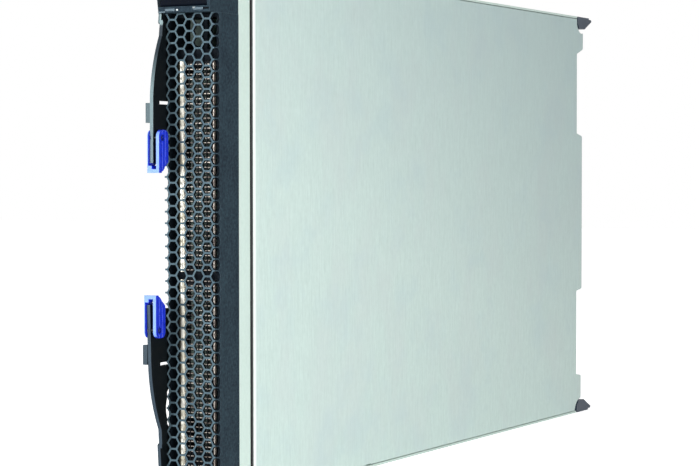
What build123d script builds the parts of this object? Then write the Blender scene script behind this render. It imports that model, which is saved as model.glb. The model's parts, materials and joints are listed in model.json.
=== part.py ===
from build123d import *
import math
import os

# Single-width blade server, drawn in millimetres
# X runs across the blade, Y from the front panel to the rear, Z up
# The pieces are drawn with Y = 0 on the face of the front grille
# They are moved to the middle of the tray's bottom face when they are written

# Blade envelope
blade_width = 29.0
blade_height = 245.0
tray_front = 18.6
tray_rear = 423.0
overrun = 2.0
running_fit = 0.05
small_gap = 0.3
slip = 0.1

# Tray
tray_sheet = 1.2
tray_bend = 1.0
strip_end = 28.3
strip_return = 4.0

# Cover
cover_sheet = 1.0
cover_gap = 0.4
cover_front = 30.8
cover_bend = 1.5
cover_flange = 4.0
cover_tab_reach = 11.0
cover_tab_bend = 2.5
cover_tab_drop = 0.5
cover_corner_cut = 2.5
cover_pin_radius = 1.5
cover_pin_inset = 4.0
cover_pin_ahead = 7.0
cover_pin_length = 3.4
cover_pin_head = 2.4
cover_pin_head_height = 0.6
cover_lug_radius = 3.2

# Rear edge of the cover, as shares of the tab reach and of the blade height
upper_tab_shares = [(1.0, 0.9596), (1.0, 0.9208)]
upper_notch_shares = [(0.0, 0.9061), (0.0, 0.7061)]
middle_tab_shares = [(0.89, 0.698), (0.89, 0.3143)]
lower_notch_shares = [(0.0, 0.3086), (0.0, 0.098)]
lower_tab_shares = [(0.8, 0.0927), (0.78, 0.0347)]
upper_corner_shares = [(0.0, 0.98), (0.25, 0.9653)]
lower_corner_share = (0.11, 0.0278)

# Cover latches
latch_y = 145.5
latch_length = 11.0
latch_width = 7.0
latch_inner = 2.0
latch_body = 9.0
latch_button_length = 7.0
latch_button_width = 5.0
latch_recess = 0.3
latch_nose_width = 4.4
latch_nose_reach = 2.2
latch_nose_height = 1.6
latch_rail = 1.2
latch_side_gap = 0.2
latch_rail_depth = 14.0
latch_drop = 0.5
cover_notch_width = 5.0
cover_notch_depth = 2.2
cover_edge_notch = 0.6

# Rear guides
guide_start = 1.4
guide_flat = 19.8
guide_length = 24.0
guide_height = 7.3
guide_tip_drop = 2.0
guide_lip = 0.9
guide_slope_start = 12.5
guide_corner = 3.2
guide_root_start = 412.6
guide_root_width = 8.0
guide_root_height = 7.2
guide_root_gap = 0.2
guide_screw_step = 5.0

# Countersunk screws along X
screw_radius = 1.25
screw_head_radius = 2.4
screw_grip = 3.8
driver_radius = 0.8
driver_depth = 0.5

# Front bezel
bezel_wall = 1.5
bezel_left_wall = 1.2
lever_recess = 2.2
bezel_low_wall = 3.0
grille_low = 16.0
grille_depth = 1.2
grille_left = 1.2
grille_trim = 0.6
upper_stub_depth = 94.0
lower_stub_depth = 90.5
panel_height = 24.0
shelf_sheet = 1.6
shelf_start = 6.0
bezel_tongue_depth = 8.0
bezel_tongue_height = 14.0
bezel_tongue_root = 3.0
bezel_tongue_sheet = 2.8
bezel_tongue_shares = [0.12, 0.82]
panel_tongue_share = 0.945
tongue_screw_step = 4.0
post_radius = 1.6
post_x = 4.5

# Hexagon mesh of the grille
cell_pitch = 5.221
cell_wall = 0.85
cell_drop = 0.115
cell_columns = 7
scallop_radius = 2.4

# Shield sheets behind the grille
shield_front = 5.0
shield_sheet = 0.5
shield_half_width = 9.0
shield_right = 10.35
shield_edge = 0.6
shield_bead_width = 3.7
shield_edge_depth = 1.0
shield_hole_size = 1.65
shield_hole_step = 2.3
shield_hole_pitch = 2.2
shield_hole_columns = 6
shield_hole_start = -4.4
shield_margin = 2.0
shield_low_gap = 0.4
crossbar_depth = 3.5
crossbar_lap = 3.0
crossbar_height = 8.0

# Heights of the shields, as shares of the blade height
upper_shield_shares = [0.42857, 0.81633]
lower_shield_high_share = 0.41429

# Control panel
panel_face = -6.0
panel_left = -12.6
panel_right = 14.4
panel_wall = 1.4
door_sheet = 1.4
door_gap = 0.2
door_knuckle = 1.0
door_trunnion_radius = 0.6
door_trunnion = 0.9
door_recess_depth = 2.6
door_frame = 1.2
door_low_frame = 2.6
panel_plate = 1.2
door_grip_width = 8.0
door_grip_depth = 0.4
door_grip_height = 1.5

# Buttons and lights of the control panel
button_travel = 0.6
button_proud = 0.4
button_flange = 0.8
button_lip = 0.8
button_stem = 1.4
power_radius = 3.2
power_place_shares = (-0.26, 0.64)
select_length = 7.0
select_height = 3.4
media_place_shares = (-0.26, 0.3)
console_place_shares = (0.14, 0.3)
light_radius = 0.8
light_height_share = 0.64
light_place_shares = [0.0, 0.1, 0.2, 0.3]
light_bar = 1.0
light_bar_height = 3.0
light_proud = 0.1
panel_board_sheet = 1.2
panel_board_start = 2.2
panel_boss_radius = 1.3
panel_boss_inset = 2.2
switch_size = 4.0
switch_height = 1.5
led_size = 1.6
led_height = 0.6

# Ejector levers
lever_sheet = 1.5
lever_inset = 0.9
lever_step_radius = 20.5
lever_step_lap = 1.2
lever_web_place = 2.5
lever_web_lap = 1.0
lever_web_gap = 0.15
lever_pivot_y = 7.0
lever_pivot_inset = 9.0
lever_hub_radius = 5.5
lever_pin_radius = 2.0
lever_pin_head = 3.0
lever_pin_head_height = 0.5
lever_pin_seat = 3.0
lever_boss_radius = 3.4
lever_hook_reach = 12.5
lever_hook_rise = 4.0
lever_hook_drop = 1.0
lever_rear_gap = 0.4
lever_rib_depth = 1.5
lever_rib_height = 0.25
lever_rib_start = 18.5
lever_bar_depth = 6.3
lever_bar_length = 12.0
lever_knee_length = 1.0
lever_bump_height = 2.6
lever_bump_depth = 2.0
lever_bump_inset = 0.3
lever_bump_round = 0.6
lever_bump_length = 8.9
lever_bump_place = 17.9
lever_slot_width = 1.5
lever_slot_place = 27.1
lever_slot_length = 5.5
lever_relief_radius = 12.0
lever_relief_depth = 0.95
lever_relief_place = 34.4
upper_lever_reach = 18.7
upper_lever_length = 82.0
upper_lever_clear = 13.7
upper_lever_web = 82.5
lower_lever_reach = 21.6
lower_lever_length = 81.8
lower_lever_clear = 7.0
lower_lever_web = 79.5

# Front edges of the levers, as shares of the lever's reach and length
upper_edge_shares = [(0.52, 0.19), (0.59, 0.306), (0.845, 0.456), (0.985, 0.635)]
lower_edge_shares = [(0.519, 0.104), (0.583, 0.31), (0.833, 0.477), (0.963, 0.697)]

# Touch pads on the levers
pad_left = -14.1
pad_right = -7.8
pad_wall = 1.6
pad_leg = 2.3
pad_depth = 7.6
pad_proud = 1.3
pad_length = 19.2
pad_past_tip = 4.4
pad_end_wall = 1.7
pad_tip_gap = 1.2
pad_chamfer_depth = 5.4
pad_chamfer_height = 4.9
pad_round = 3.0
pad_pin_radius = 1.0
pad_pin_place = 11.3
pad_pin_depth = 3.1
pad_pin_head = 1.7
pad_pin_head_height = 0.4
pad_pin_sink = 1.2
pad_pin_mouth = 1.4
pad_groove = 0.8
pad_groove_depth = 0.3
pad_groove_pitch = 2.4
pad_groove_count = 2
pad_groove_start = 2.2

# System board
board_sheet = 1.6
board_stand = 3.0
board_front = 40.0
board_rear = 412.0
board_low = 5.0
board_high = 240.0
standoff_radius = 3.0
board_screw_radius = 1.5
board_screw_head = 2.8
board_screw_head_height = 1.6
standoff_column_shares = [0.016, 0.2957, 0.5645, 0.9812]
standoff_row_shares = [0.0298, 0.4894, 0.966]

# Drives and their trays
drive_front = 36.0
drive_length = 100.0
drive_width = 70.0
drive_height = 15.0
drive_lift = 3.1
drive_lows = [8.0, 82.0]
drive_corner = 2.0
drive_lid_margin = 3.0
drive_lid_depth = 0.5
drive_disc_radius = 24.0
drive_tray_sheet = 1.0
drive_tray_gap = 0.2
drive_tray_reach = 10.7
drive_tray_tail = 2.0
drive_plug_length = 5.0
drive_plug_width = 30.0
drive_plug_height = 9.0

# Processors, sockets and heat sinks
sink_front = 160.0
sink_length = 80.0
sink_lows = [25.0, 130.0]
sink_height = 85.0
sink_base = 3.0
sink_fin_reach = 13.0
sink_fin_sheet = 0.8
sink_fin_pitch = 3.24
sink_fin_count = 27
sink_screw_inset = 6.0
sink_screw_radius = 1.6
sink_screw_head = 3.0
sink_screw_head_height = 2.0
sink_screw_relief = 4.2
socket_size = 42.0
socket_height = 3.0
socket_well = 1.0
socket_rim = 3.0
processor_size = 35.0
processor_sheet = 1.0
processor_lid = 28.0
processor_lid_height = 1.5

# Memory
memory_front = 266.0
memory_length = 125.0
memory_rows = [90.0, 102.0, 114.0, 126.0]
memory_base_width = 6.5
memory_base_height = 7.0
memory_groove_depth = 3.5
memory_card_sheet = 1.2
memory_card_height = 17.9
memory_chip_count = 8
memory_chip_length = 11.0
memory_chip_height = 8.0
memory_chip_sheet = 0.8
memory_chip_rise = 6.2
memory_end = 6.0
memory_cheek = 1.2
memory_latch_gap = 0.25
memory_latch_depth = 3.2
memory_latch_height = 13.0
memory_latch_pin = 0.8
memory_latch_pin_rise = 2.4
memory_thumb = 1.8
memory_thumb_height = 2.0

# Smaller parts on the board
hub_sink_y = 320.0
hub_sink_z = 48.0
hub_sink_size = 40.0
hub_sink_base = 2.0
hub_sink_height = 8.0
hub_fin_sheet = 1.0
hub_fin_count = 9
chip_place_shares = [
    (0.134, 0.753), (0.21, 0.753), (0.839, 0.106), (0.839, 0.209), (0.054, 0.864), (0.597, 0.132)
]
chip_size = 14.0
chip_height = 1.6
inductor_place_shares = [(0.597, 0.617), (0.597, 0.685), (0.597, 0.753), (0.597, 0.821), (0.081, 0.66)]
inductor_size = 11.0
inductor_height = 7.0
capacitor_front = 290.0
capacitor_pitch = 12.0
capacitor_count = 8
capacitor_row = 150.0
capacitor_radius = 4.0
capacitor_height = 10.0
capacitor_top = 0.4
cell_y = 110.0
cell_z = 212.0
cell_radius = 10.0
cell_height = 3.2
cell_holder_rim = 1.6
cell_holder_floor = 1.2
cell_clip = 6.0
cell_clip_lap = 3.0
cell_clip_sheet = 0.8
expansion_front = 300.0
expansion_length = 60.0
expansion_low = 176.0
expansion_width = 7.0
expansion_height = 6.0
expansion_slot = 2.2
expansion_slot_depth = 4.0
expansion_end = 3.0

# Rear connectors
connector_front = 400.0
connector_rear = 424.0
connector_reach = 11.7
connector_wall = 1.5
connector_lows = [24.0, 173.5]
connector_height = 48.0
connector_floor = 4.0
connector_blade_sheet = 1.2
connector_blade_length = 12.0
connector_blade_count = 6
connector_blade_gap = 1.6

# Places that follow from the sizes above
right = blade_width / 2
left = -right
tray_floor = left + tray_sheet
cover_low = tray_sheet + cover_gap
cover_high = blade_height - cover_low
cover_inside = right - cover_sheet
cover_pivot_x = right - cover_pin_inset
cover_pivot_y = tray_rear - cover_pin_ahead
arm_left = left + lever_inset
arm_inside = arm_left + lever_sheet
bezel_left = left + lever_recess
bezel_right = right - bezel_wall
panel_low = blade_height - panel_height
upper_shield_low = upper_shield_shares[0] * blade_height
upper_shield_high = upper_shield_shares[1] * blade_height
lower_shield_low = grille_low + shield_low_gap
lower_shield_high = lower_shield_high_share * blade_height
panel_front = panel_face + door_recess_depth
panel_back = panel_front + panel_plate
door_left = panel_left + door_frame
door_right = panel_right - door_frame
door_low = panel_low + door_low_frame
door_high = blade_height - door_frame
door_axis_y = panel_face + door_knuckle
door_axis_z = door_low + door_gap + door_knuckle
pin_end = panel_left + panel_wall + lever_pin_seat
board_face = tray_floor + board_stand + board_sheet
drive_base = board_face + drive_lift
socket_top = board_face + socket_height
processor_top = socket_top + processor_lid_height
sink_top = processor_top + sink_base
cell_spacing = cell_pitch * math.sqrt(3) / 2
cell_radius_across = (cell_pitch - cell_wall) / 2


def block(x0, x1, y0, y1, z0, z1):
    """Box between two corners."""
    middle = ((x0 + x1) / 2, (y0 + y1) / 2, (z0 + z1) / 2)
    return Pos(*middle) * Box(x1 - x0, y1 - y0, z1 - z0)


def rod_x(y, z, radius, x0, x1):
    """Round rod along X."""
    return Pos((x0 + x1) / 2, y, z) * Rot(0, 90, 0) * Cylinder(radius, x1 - x0)


def rod_y(x, z, radius, y0, y1):
    """Round rod along Y."""
    return Pos(x, (y0 + y1) / 2, z) * Rot(90, 0, 0) * Cylinder(radius, y1 - y0)


def rod_z(x, y, radius, z0, z1):
    """Round rod along Z."""
    return Pos(x, y, (z0 + z1) / 2) * Cylinder(radius, z1 - z0)


def side_plate(face, x0, x1):
    """Face drawn in (Y, Z), drawn out along X."""
    return extrude(Plane.YZ.offset(x0) * face, amount=x1 - x0)


def front_plate(face, y0, y1):
    """Face drawn in (X, Z), drawn out along Y."""
    plane = Plane(origin=(0, y1, 0), x_dir=(1, 0, 0), z_dir=(0, -1, 0))
    return extrude(plane * face, amount=y1 - y0)


def flat_plate(face, z0, z1):
    """Face drawn in (X, Y), drawn out along Z."""
    return extrude(Plane.XY.offset(z0) * face, amount=z1 - z0)


def polygon(points):
    """Face with straight sides."""
    return make_face(Polyline(*points, close=True))


def edge_height(upper, depth):
    """Height of a place at some depth inside the blade's upper or lower edge."""
    return blade_height - depth if upper else depth


def edge_block(upper, x0, x1, y0, y1, near, far):
    """Box between two depths inside the blade's upper or lower edge."""
    ends = sorted([edge_height(upper, near), edge_height(upper, far)])
    return block(x0, x1, y0, y1, *ends)


def edge_rod(upper, x, y, radius, near, far):
    """Upright rod between two depths inside the blade's upper or lower edge."""
    ends = sorted([edge_height(upper, near), edge_height(upper, far)])
    return rod_z(x, y, radius, *ends)


def flush_screw(y, z, gap=0):
    """Countersunk screw along X with its head flush in the tray's floor plate."""
    cone = Cone(screw_head_radius + gap, screw_radius + gap, tray_sheet)
    head = Pos(left + tray_sheet / 2, y, z) * Rot(0, 90, 0) * cone
    return head + rod_x(y, z, screw_radius + gap, tray_floor, left + screw_grip + gap)


def driven_screw(y, z):
    """Countersunk screw with a six-sided drive in its head."""
    drive = side_plate(Pos(y, z) * RegularPolygon(driver_radius, 6), left, left + driver_depth)
    return flush_screw(y, z) - drive


def tongue_places():
    """Middle heights of the bezel's screwed tongues."""
    return [share * blade_height for share in bezel_tongue_shares]


def guide_screw_place(upper):
    """(Y, Z) of the screw that holds a rear guide."""
    depth = tray_sheet + guide_root_gap + guide_root_height / 2
    return guide_root_start + guide_screw_step, edge_height(upper, depth)


def tongue_screw_places():
    """(Y, Z) of the screws that hold the bezel to the tray."""
    heights = tongue_places() + [panel_tongue_share * blade_height]
    return [(tray_front + tongue_screw_step, z) for z in heights]


def latch_carrier(upper):
    """Pocket under the tray's wall that guides a cover latch."""
    half = latch_length / 2 + latch_side_gap
    x1 = latch_inner + latch_width
    floor = latch_inner - latch_side_gap
    y0 = latch_y - half
    y1 = latch_y + half
    shell = edge_block(
        upper, floor - latch_rail, x1, y0 - latch_rail, y1 + latch_rail, 0,
        latch_rail_depth + latch_rail,
    )
    return shell - edge_block(upper, floor, x1 + overrun, y0, y1, tray_sheet, latch_rail_depth)


def latch_window(upper):
    """Window in the tray's wall for the latch's button."""
    half_length = latch_button_length / 2 + latch_side_gap
    half_width = latch_button_width / 2 + latch_side_gap
    x = latch_inner + latch_width / 2
    y = latch_y
    return edge_block(
        upper, x - half_width, x + half_width, y - half_length, y + half_length, -overrun,
        tray_sheet + overrun,
    )


def base_tray():
    """Folded tray: floor plate, two long walls and the front strip."""
    lip = right - tray_sheet - strip_return
    shell = block(left, tray_floor, tray_front, tray_rear, 0, blade_height)
    shell += block(left, right, tray_front, tray_rear, 0, tray_sheet)
    shell += block(left, right, tray_front, tray_rear, blade_height - tray_sheet, blade_height)
    shell += block(right - tray_sheet, right, tray_front, strip_end, 0, blade_height)
    shell += block(lip, right, strip_end - tray_sheet, strip_end, 0, blade_height)
    folds = shell.edges().filter_by(Axis.Y).sort_by(Axis.X)[:2]
    shell = fillet(folds, tray_bend)
    for upper in (True, False):
        shell += latch_carrier(upper)
        shell -= latch_window(upper)
        shell -= edge_rod(
            upper, cover_pivot_x, cover_pivot_y, cover_pin_radius + running_fit, -overrun, overrun
        )
        shell -= flush_screw(*guide_screw_place(upper), running_fit)
    for y, z in tongue_screw_places():
        shell -= flush_screw(y, z, running_fit)
    return shell


def tab_outline():
    """Cover outline with the stepped rear edge."""
    def place(share):
        return tray_rear + share[0] * cover_tab_reach, share[1] * blade_height

    upper_start, upper_middle = [place(s) for s in upper_corner_shares]
    lower_end = (tray_rear - cover_corner_cut, cover_low)
    steps = upper_tab_shares + upper_notch_shares + middle_tab_shares
    steps += lower_notch_shares + lower_tab_shares
    stairs = [place(s) for s in steps]
    front = [(cover_front, cover_low), (cover_front, cover_high), (tray_rear, cover_high), upper_start]
    lines = [
        Polyline(*front),
        ThreePointArc(upper_start, upper_middle, stairs[0]),
        Polyline(*stairs),
        ThreePointArc(stairs[-1], place(lower_corner_share), lower_end),
        Line(lower_end, (cover_front, cover_low)),
    ]
    return make_face(lines)


def tab_bends():
    """Wedges that turn the outer face of each rear tab inward."""
    wedges = []
    for shares in (upper_tab_shares, middle_tab_shares, lower_tab_shares):
        end = tray_rear + shares[0][0] * cover_tab_reach
        start = end - cover_tab_bend
        corner = right - cover_tab_drop
        outside = right + overrun
        bend = [(right, start), (corner, end), (corner, end + overrun)]
        face = polygon(bend + [(outside, end + overrun), (outside, start)])
        low = shares[1][1] * blade_height - overrun
        high = shares[0][1] * blade_height + overrun
        wedges.append(flat_plate(face, low, high))
    return wedges


def cover():
    """Side cover with folded edges, rear tabs, hinge lugs and latch notches."""
    inner = cover_inside - cover_flange
    shell = side_plate(tab_outline(), cover_inside, right)
    shell += block(inner, right, cover_front, cover_front + cover_sheet, cover_low, cover_high)
    front_edge = shell.edges().filter_by(Axis.Z).sort_by(Axis.Y)[:2].sort_by(Axis.X)[-1]
    shell = fillet(front_edge, cover_bend)
    notch_y = cover_notch_width / 2
    for upper in (True, False):
        edge = cover_low + cover_sheet
        shell += edge_block(
            upper, inner, cover_inside, cover_front + cover_sheet, cover_pivot_y, cover_low, edge
        )
        shell += edge_rod(upper, cover_pivot_x, cover_pivot_y, cover_lug_radius, cover_low, edge)
        shell -= edge_rod(
            upper, cover_pivot_x, cover_pivot_y, cover_pin_radius + running_fit, 0, edge + overrun
        )
        shell -= edge_block(
            upper, inner - overrun, inner + cover_notch_depth, latch_y - notch_y, latch_y + notch_y, 0,
            edge + overrun,
        )
        shell -= edge_block(
            upper, cover_inside, right + overrun, latch_y - notch_y, latch_y + notch_y, 0,
            cover_low + cover_edge_notch,
        )
    for wedge in tab_bends():
        shell -= wedge
    return shell


def cover_pivot_pins():
    """Headed pins that the cover turns on."""
    pins = []
    for upper in (True, False):
        start = cover_pin_length - cover_pin_head_height
        pin = edge_rod(
            upper, cover_pivot_x, cover_pivot_y, cover_pin_radius, running_fit, cover_pin_length
        )
        pin += edge_rod(upper, cover_pivot_x, cover_pivot_y, cover_pin_head, start, cover_pin_length)
        pins.append(pin)
    return pins


def cover_latch(upper):
    """Sprung latch with a push button and a nose in the cover's notch."""
    x1 = latch_inner + latch_width
    middle = latch_inner + latch_width / 2
    half = latch_length / 2
    top = tray_sheet + latch_drop
    half_button = latch_button_length / 2
    half_width = latch_button_width / 2
    nose = latch_nose_width / 2
    body = edge_block(upper, latch_inner, x1, latch_y - half, latch_y + half, top, top + latch_body)
    body += edge_block(
        upper, middle - half_width, middle + half_width, latch_y - half_button, latch_y + half_button,
        latch_recess, top,
    )
    body += edge_block(
        upper, x1, x1 + latch_nose_reach, latch_y - nose, latch_y + nose, top, top + latch_nose_height
    )
    return body


def rear_guide(upper):
    """Sloped guide at a rear corner with a root screwed inside the tray."""
    outline = [
        (guide_start, 0),
        (guide_flat, 0),
        (guide_flat, guide_lip),
        (guide_length - guide_lip, guide_lip),
        (guide_length, guide_tip_drop),
        (guide_slope_start, guide_height),
        (guide_start + guide_corner, guide_height),
        (guide_start, guide_height - guide_corner),
    ]
    face = polygon([(tray_rear + y, edge_height(upper, depth)) for y, depth in outline])
    near = tray_sheet + guide_root_gap
    root_end = tray_rear + guide_start
    body = side_plate(face, left, right)
    body += edge_block(
        upper, tray_floor, tray_floor + guide_root_width, guide_root_start, root_end, near,
        near + guide_root_height,
    )
    return body - flush_screw(*guide_screw_place(upper), running_fit)


def rear_guide_screws():
    """One countersunk screw for each rear guide."""
    return [driven_screw(*guide_screw_place(upper)) for upper in (True, False)]


def bezel_screws():
    """Countersunk screws that hold the bezel and the control panel."""
    return [driven_screw(y, z) for y, z in tongue_screw_places()]


def tongue(x0, height):
    """Block that reaches from the bezel into the tray."""
    half = bezel_tongue_height / 2
    y0 = tray_front - bezel_tongue_root
    return block(
        x0, x0 + bezel_tongue_sheet, y0, tray_front + bezel_tongue_depth, height - half, height + half
    )


def cell_heights(column):
    """Heights of the cell middles in one column of the mesh."""
    top = panel_low - cell_drop + (cell_pitch / 2 if column % 2 == 0 else 0)
    count = math.ceil((top - grille_low) / cell_pitch) + 1
    return [top - row * cell_pitch for row in range(count)]


def bezel_grille():
    """Mesh of hexagon cells."""
    x0 = left + grille_left
    face = Pos((x0 + bezel_right) / 2, (grille_low + panel_low) / 2) * Rectangle(
        bezel_right - x0, panel_low - grille_low
    )
    for upper in (True, False):
        depth = upper_stub_depth if upper else lower_stub_depth
        face -= Pos(x0, edge_height(upper, depth / 2)) * Rectangle(grille_trim * 2, depth)
    cell = RegularPolygon(cell_radius_across, 6, major_radius=False)
    middle = (cell_columns - 1) / 2
    cells = []
    for column in range(cell_columns):
        x = (column - middle) * cell_spacing
        cells += [Pos(x, z) * cell for z in cell_heights(column)]
    return front_plate(face - cells, 0, grille_depth)


def crossbar(low):
    """Bar behind the shields, between the bezel's walls."""
    y0 = shield_front + shield_sheet
    return block(
        bezel_left, right - bezel_wall / 2, y0, y0 + crossbar_depth, low, low + crossbar_height
    )


def bezel_frame():
    """Walls around the grille, bars for the shields and tongues into the tray."""
    inner_left = bezel_left + bezel_left_wall
    bar_high = upper_shield_high - crossbar_lap
    bar_middle = (upper_shield_low + lower_shield_high - crossbar_height) / 2
    frame = block(bezel_right, right, 0, tray_front, 0, panel_low)
    frame += block(bezel_left, inner_left, grille_depth, tray_front, 0, panel_low)
    frame += block(bezel_left, right, 0, tray_front, 0, grille_low)
    frame -= block(
        inner_left, bezel_right, grille_depth, tray_front + overrun, bezel_low_wall,
        grille_low - shelf_sheet,
    )
    frame += block(bezel_left, right, shelf_start, tray_front, panel_low - shelf_sheet, panel_low)
    for low in (bar_high, bar_middle, grille_low):
        frame += crossbar(low)
    frame += rod_z(post_x, shield_front + shield_sheet + post_radius, post_radius, bar_high, panel_low)
    frame += rod_x(lever_pivot_y, lever_pivot_inset, lever_boss_radius, bezel_left, pin_end)
    frame -= rod_x(
        lever_pivot_y, lever_pivot_inset, lever_pin_radius + running_fit, left, pin_end + overrun
    )
    for height in tongue_places():
        frame += tongue(tray_floor, height)
        frame += tongue(right - tray_sheet - bezel_tongue_sheet, height)
    scallops = [rod_x(0, z, scallop_radius, bezel_right, right + overrun) for z in cell_heights(0)]
    frame -= [scallop for scallop in scallops if scallop.bounding_box().min.Z > grille_low]
    for y, z in tongue_screw_places():
        frame -= flush_screw(y, z, running_fit)
    return frame


def emc_shield(low, high):
    """Perforated spring-steel sheet with a rolled bead and a folded edge."""
    x0 = -shield_half_width
    back = shield_front + shield_sheet
    bead_radius = shield_bead_width / 2
    face = Pos((x0 + shield_right) / 2, (low + high) / 2) * Rectangle(shield_right - x0, high - low)
    rows = math.floor((high - low - shield_margin * 2) / shield_hole_pitch) + 1
    hole = Rectangle(shield_hole_size, shield_hole_size)
    holes = []
    for column in range(shield_hole_columns):
        x = shield_hole_start + column * shield_hole_step
        holes += [Pos(x, low + shield_margin + row * shield_hole_pitch) * hole for row in range(rows)]
    sheet = front_plate(face - holes, shield_front, back)
    bead = rod_z(x0 + bead_radius, back, bead_radius, low, high)
    bead &= block(x0, x0 + shield_bead_width, back - shield_bead_width, back, low, high)
    sheet += bead
    return sheet + block(
        shield_right - shield_edge, shield_right, shield_front - shield_edge_depth, back, low, high
    )


def panel_place(shares):
    """(X, Z) of a place on the panel's face, given as shares of the door opening."""
    middle = (door_left + door_right) / 2
    return middle + shares[0] * (door_right - door_left), door_low + shares[1] * (door_high - door_low)


def light_places():
    """(X, Z) of each light on the panel's face."""
    return [panel_place((share, light_height_share)) for share in light_place_shares]


def panel_board_bounds():
    """Left, right, lower and upper edges of the control panel's board."""
    inner_low = panel_low + panel_wall + slip
    inner_high = blade_height - panel_wall - slip
    return panel_left + panel_wall + slip, panel_right - panel_wall - slip, inner_low, inner_high


def panel_board_corners():
    """(X, Z) of the bosses that carry the control panel's board."""
    x0, x1, z0, z1 = panel_board_bounds()
    step = panel_boss_inset
    return [(x, z) for x in (x0 + step, x1 - step) for z in (z0 + step, z1 - step)]


def control_panel_housing():
    """Box of the control panel with the door's recess in front and an open back."""
    inner_low = panel_low + panel_wall
    inner_high = blade_height - panel_wall
    body = block(panel_left, panel_right, panel_face, tray_front, panel_low, blade_height)
    body -= block(
        panel_left + panel_wall, panel_right - panel_wall, panel_back, tray_front + overrun, inner_low,
        inner_high,
    )
    body -= block(door_left, door_right, panel_face - overrun, panel_front, door_low, door_high)
    for x, z in panel_board_corners():
        body += rod_y(x, z, panel_boss_radius, panel_back, panel_board_start)
    hole = door_trunnion + slip
    body -= rod_x(
        door_axis_y, door_axis_z, door_trunnion_radius + running_fit, door_left - hole,
        door_right + hole,
    )
    x, z = panel_place(power_place_shares)
    body -= rod_y(x, z, power_radius + slip, panel_face, panel_back + overrun)
    for shares in (media_place_shares, console_place_shares):
        x, z = panel_place(shares)
        body -= select_block(x, z, slip, panel_face, panel_back + overrun)
    for x, z in light_places():
        body -= rod_y(x, z, light_radius + running_fit, panel_face, panel_back + overrun)
    pivot_y, pivot_z = lever_place(True, 0, 0)
    body += rod_x(pivot_y, pivot_z, lever_boss_radius, panel_left, pin_end)
    body -= rod_x(pivot_y, pivot_z, lever_pin_radius + running_fit, left, pin_end + overrun)
    body += tongue(tray_floor, panel_tongue_share * blade_height)
    for y, z in tongue_screw_places():
        body -= flush_screw(y, z, running_fit)
    return body


def control_panel_door():
    """Flap over the buttons, hinged along its lower edge."""
    x0 = door_left + door_gap
    x1 = door_right - door_gap
    top = door_high - door_gap
    middle = (door_left + door_right) / 2
    half_grip = door_grip_width / 2
    door = block(x0, x1, panel_face, panel_face + door_sheet, door_axis_z, top)
    door += rod_x(door_axis_y, door_axis_z, door_knuckle, x0, x1)
    door += rod_x(
        door_axis_y, door_axis_z, door_trunnion_radius, door_left - door_trunnion,
        door_right + door_trunnion,
    )
    grip = block(
        middle - half_grip, middle + half_grip, panel_face, panel_face + door_grip_depth,
        top - door_grip_height, top,
    )
    return door - grip


def select_block(x, z, gap, y0, y1):
    """Rectangular block around a select button's middle."""
    half_length = select_length / 2 + gap
    half_height = select_height / 2 + gap
    return block(x - half_length, x + half_length, y0, y1, z - half_height, z + half_height)


def button_stem_rod(x, z):
    """Stem that reaches back to the switch on the board."""
    stem_end = panel_board_start - switch_height - button_travel - running_fit
    return rod_y(x, z, button_stem, panel_back + button_flange, stem_end)


def power_button():
    """Round button with a flange behind the panel's face."""
    x, z = panel_place(power_place_shares)
    flange = panel_back + running_fit
    button = rod_y(x, z, power_radius, panel_front - button_proud, flange)
    button += rod_y(x, z, power_radius + button_lip, flange, flange + button_flange)
    return button + button_stem_rod(x, z)


def select_button(shares):
    """Rectangular button with a flange behind the panel's face."""
    x, z = panel_place(shares)
    flange = panel_back + running_fit
    button = select_block(x, z, 0, panel_front - button_proud, flange)
    button += select_block(x, z, button_lip, flange, flange + button_flange)
    return button + button_stem_rod(x, z)


def light_pipes():
    """Clear rods on one bar that carry the lights to the panel's face."""
    places = light_places()
    half = light_bar_height / 2
    z = places[0][1]
    x0 = places[0][0] - half
    x1 = places[-1][0] + half
    pipes = block(x0, x1, panel_back, panel_back + light_bar, z - half, z + half)
    for x, height in places:
        pipes += rod_y(
            x, height, light_radius, panel_front - light_proud, panel_board_start - led_height - slip
        )
    return pipes


def control_panel_board():
    """Small board with the switches and lights of the control panel."""
    x0, x1, z0, z1 = panel_board_bounds()
    board = block(x0, x1, panel_board_start, panel_board_start + panel_board_sheet, z0, z1)
    half = switch_size / 2
    for shares in (power_place_shares, media_place_shares, console_place_shares):
        x, z = panel_place(shares)
        board += block(
            x - half, x + half, panel_board_start - switch_height, panel_board_start, z - half, z + half
        )
    half_led = led_size / 2
    for x, z in light_places():
        board += block(
            x - half_led, x + half_led, panel_board_start - led_height, panel_board_start, z - half_led,
            z + half_led,
        )
    return board


def lever_place(upper, out, along):
    """(Y, Z) of a place given outward and along a lever from its pivot."""
    return lever_pivot_y - out, edge_height(upper, lever_pivot_inset + along)


def lever_block(upper, x0, x1, outs, alongs):
    """Box between two places on a lever."""
    y1, first = lever_place(upper, outs[0], alongs[0])
    y0, second = lever_place(upper, outs[1], alongs[1])
    return block(x0, x1, y0, y1, min(first, second), max(first, second))


def lever_reach(upper):
    """Distance from the pivot to the lever's front edge."""
    return upper_lever_reach if upper else lower_lever_reach


def lever_length(upper):
    """Distance from the pivot to the lever's tip."""
    return upper_lever_length if upper else lower_lever_length


def pad_pin_centre(upper):
    """(Y, Z) of the pin that a touch pad turns on."""
    out = lever_reach(upper) + pad_proud - pad_pin_depth
    return lever_place(upper, out, lever_length(upper) - pad_pin_place)


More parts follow.
